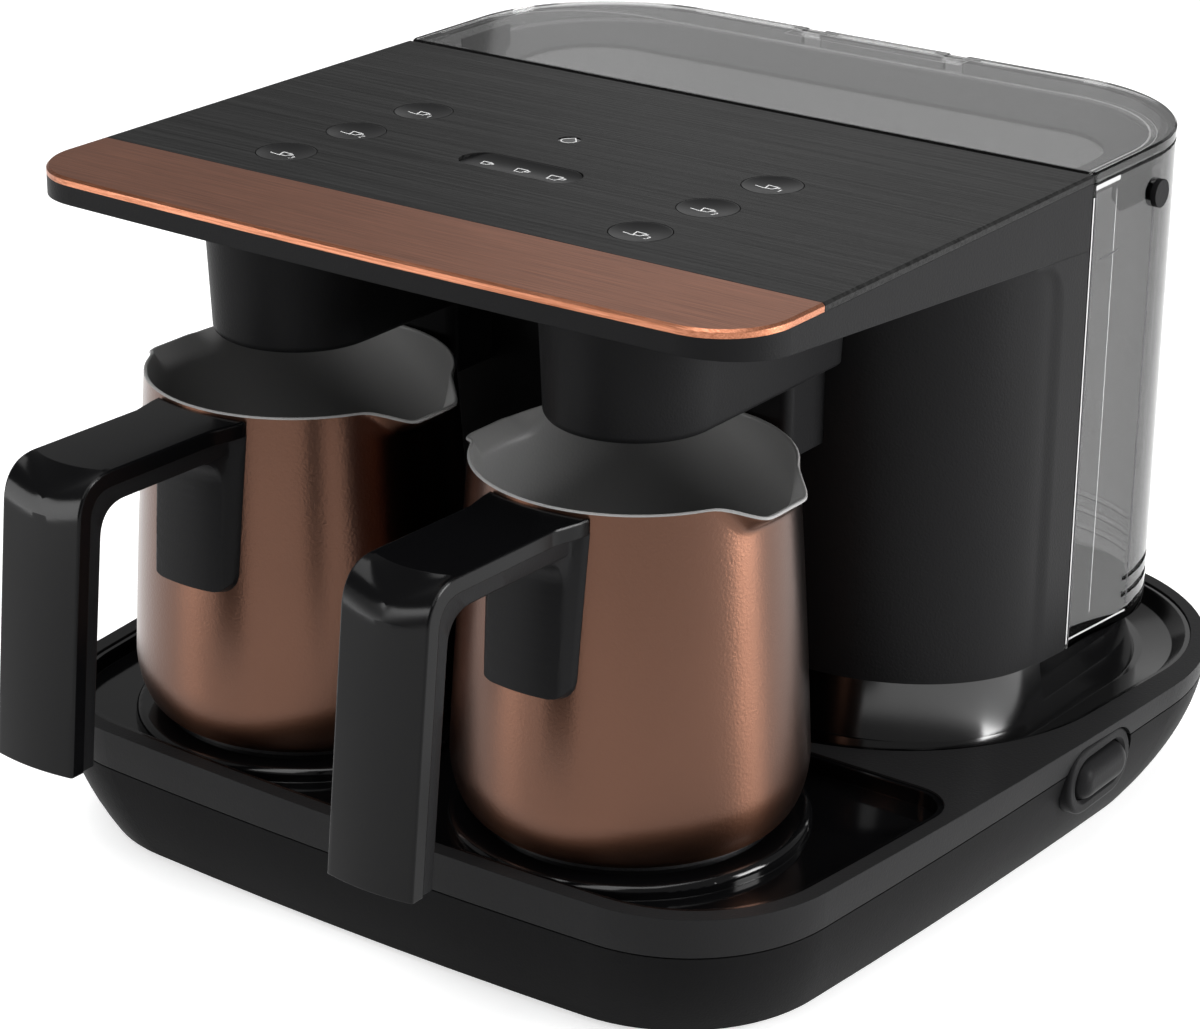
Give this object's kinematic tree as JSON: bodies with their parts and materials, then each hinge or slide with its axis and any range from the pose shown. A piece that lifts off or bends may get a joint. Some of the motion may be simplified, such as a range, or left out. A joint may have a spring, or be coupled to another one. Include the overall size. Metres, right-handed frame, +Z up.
{
  "type": "turkish coffee machine",
  "caption": "Turkish coffee machine with lift-off copper-coloured pots on a glossy deck, touch keys on a flat top and a smoked water tank at the back.",
  "frame": {"origin": "under the middle of the whole machine, at table height", "axes": "+X to the right as seen from the front, +Y to the back where the tank is, +Z up"},
  "size_m": [0.2788, 0.3312, 0.1939],
  "materials": {
    "matte_black": "fine matte grain",
    "gloss_black": "high gloss",
    "panel_black": "fine brushed black, satin",
    "copper_trim": "brushed copper colour",
    "copper_pot": "satin copper colour outside, dark non-stick inside",
    "handle_gloss": "high gloss",
    "handle_matte": "matte",
    "key_black": "satin with light icons",
    "clear_lens": "clear",
    "smoked_clear": "smoked transparent",
    "smoked_lid": "smoked transparent",
    "steel": "plain",
    "dark_steel": "dark non-stick coat",
    "coil_steel": "plain",
    "board_green": "circuit board",
    "inner_white": "plain",
    "rubber_black": "matte",
    "seal_grey": "soft",
    "hose_clear": "silicone hose",
    "pump_black": "plain"
  },
  "bodies": {
    "machine": {"base_pan": "matte_black", "base_rim": "matte_black", "base_screws": "steel", "brew_head_left": "matte_black", "brew_head_right": "matte_black", "coil_carriers": "inner_white", "column_shell": "matte_black", "control_board": "board_green", "copper_strip": "copper_trim", "cord_inlet": "rubber_black", "feet": "rubber_black", "flow_meter": "inner_white", "gloss_deck": "gloss_black", "head_shell": "matte_black", "heater_coils": "coil_steel", "heater_plate_left": "dark_steel", "heater_plate_right": "dark_steel", "hoses": "hose_clear", "keypad_board": "board_green", "level_eyes": "clear_lens", "power_bezel": "matte_black", "power_board": "board_green", "power_switch": "pump_black", "pump_body": "pump_black", "rear_frame": "matte_black", "rear_plinth": "gloss_black", "sensor_housings": "matte_black", "sensor_spring_left": "steel", "sensor_spring_right": "steel", "status_lens": "clear_lens", "tank_socket": "pump_black", "top_panel": "panel_black", "water_nozzles": "inner_white"},
    "pot_left": {"pot_left": "copper_pot", "handle_left": "handle_gloss", "handle_liner_left": "handle_matte"},
    "pot_right": {"pot_right": "copper_pot", "handle_right": "handle_gloss", "handle_liner_right": "handle_matte"},
    "tank": {"tank_body": "smoked_clear", "tank_grips": "matte_black", "tank_seal": "seal_grey", "tank_filter": "inner_white", "valve_spring": "steel"},
    "tank_lid": {"tank_lid": "smoked_lid", "hinge_pins": "steel"},
    "tank_valve": {"tank_valve": "inner_white"},
    "power_button": {"power_button": "matte_black"},
    "sensor_left": {"sensor_plunger_left": "steel"},
    "sensor_right": {"sensor_plunger_right": "steel"},
    "pump_piston": {"pump_piston": "steel"},
    "flow_turbine": {"flow_turbine": "pump_black"},
    "key_cup_size": {"key_cup_size": "key_black"},
    "key_left_1": {"key_left_1": "key_black"},
    "key_left_2": {"key_left_2": "key_black"},
    "key_left_3": {"key_left_3": "key_black"},
    "key_right_1": {"key_right_1": "key_black"},
    "key_right_2": {"key_right_2": "key_black"},
    "key_right_3": {"key_right_3": "key_black"}
  },
  "joints": [
    {"name": "pot_left_out", "type": "slide", "parent": "machine", "child": "pot_left", "axis": [0, -1, 0], "range_m": [0, 0.13]},
    {"name": "pot_right_out", "type": "slide", "parent": "machine", "child": "pot_right", "axis": [0, -1, 0], "range_m": [0, 0.13]},
    {"name": "tank_lift", "type": "slide", "parent": "machine", "child": "tank", "axis": [0, 0, 1], "range_m": [0, 0.16]},
    {"name": "lid_hinge", "type": "hinge", "parent": "tank", "child": "tank_lid", "pos_m": [0, 0.1522, 0.1923], "axis": [-1, 0, 0], "range_deg": [0, 100]},
    {"name": "valve_lift", "type": "slide", "parent": "tank", "child": "tank_valve", "axis": [0, 0, 1], "range_m": [0, 0.002], "stiffness_N_per_m": 60, "springref_m": -0.004, "deforming": ["valve_spring"]},
    {"name": "power_press", "type": "slide", "parent": "machine", "child": "power_button", "axis": [-1, 0, 0], "range_m": [0, 0.0016], "stiffness_N_per_m": 400, "springref_m": -0.002},
    {"name": "sensor_left_press", "type": "slide", "parent": "machine", "child": "sensor_left", "axis": [0, 0, 1], "range_m": [-0.0015, 0], "stiffness_N_per_m": 150, "springref_m": 0.001, "deforming": ["sensor_spring_left"]},
    {"name": "sensor_right_press", "type": "slide", "parent": "machine", "child": "sensor_right", "axis": [0, 0, 1], "range_m": [-0.0015, 0], "stiffness_N_per_m": 150, "springref_m": 0.001, "deforming": ["sensor_spring_right"]},
    {"name": "key_left_1_press", "type": "slide", "parent": "machine", "child": "key_left_1", "axis": [0, 0, -1], "range_m": [0, 0.0008], "stiffness_N_per_m": 300, "springref_m": -0.001},
    {"name": "key_left_2_press", "type": "slide", "parent": "machine", "child": "key_left_2", "axis": [0, 0, -1], "range_m": [0, 0.0008], "stiffness_N_per_m": 300, "springref_m": -0.001},
    {"name": "key_left_3_press", "type": "slide", "parent": "machine", "child": "key_left_3", "axis": [0, 0, -1], "range_m": [0, 0.0008], "stiffness_N_per_m": 300, "springref_m": -0.001},
    {"name": "key_right_1_press", "type": "slide", "parent": "machine", "child": "key_right_1", "axis": [0, 0, -1], "range_m": [0, 0.0008], "stiffness_N_per_m": 300, "springref_m": -0.001},
    {"name": "key_right_2_press", "type": "slide", "parent": "machine", "child": "key_right_2", "axis": [0, 0, -1], "range_m": [0, 0.0008], "stiffness_N_per_m": 300, "springref_m": -0.001},
    {"name": "key_right_3_press", "type": "slide", "parent": "machine", "child": "key_right_3", "axis": [0, 0, -1], "range_m": [0, 0.0008], "stiffness_N_per_m": 300, "springref_m": -0.001},
    {"name": "key_cup_size_press", "type": "slide", "parent": "machine", "child": "key_cup_size", "axis": [0, 0, -1], "range_m": [0, 0.0008], "stiffness_N_per_m": 300, "springref_m": -0.001},
    {"name": "pump_stroke", "type": "slide", "parent": "machine", "child": "pump_piston", "axis": [1, 0, 0], "range_m": [-0.002, 0.002], "stiffness_N_per_m": 500},
    {"name": "turbine_spin", "type": "hinge", "parent": "machine", "child": "flow_turbine", "pos_m": [-0.062, 0.0396, 0.085], "axis": [0, 0, 1], "continuous": true}
  ]
}
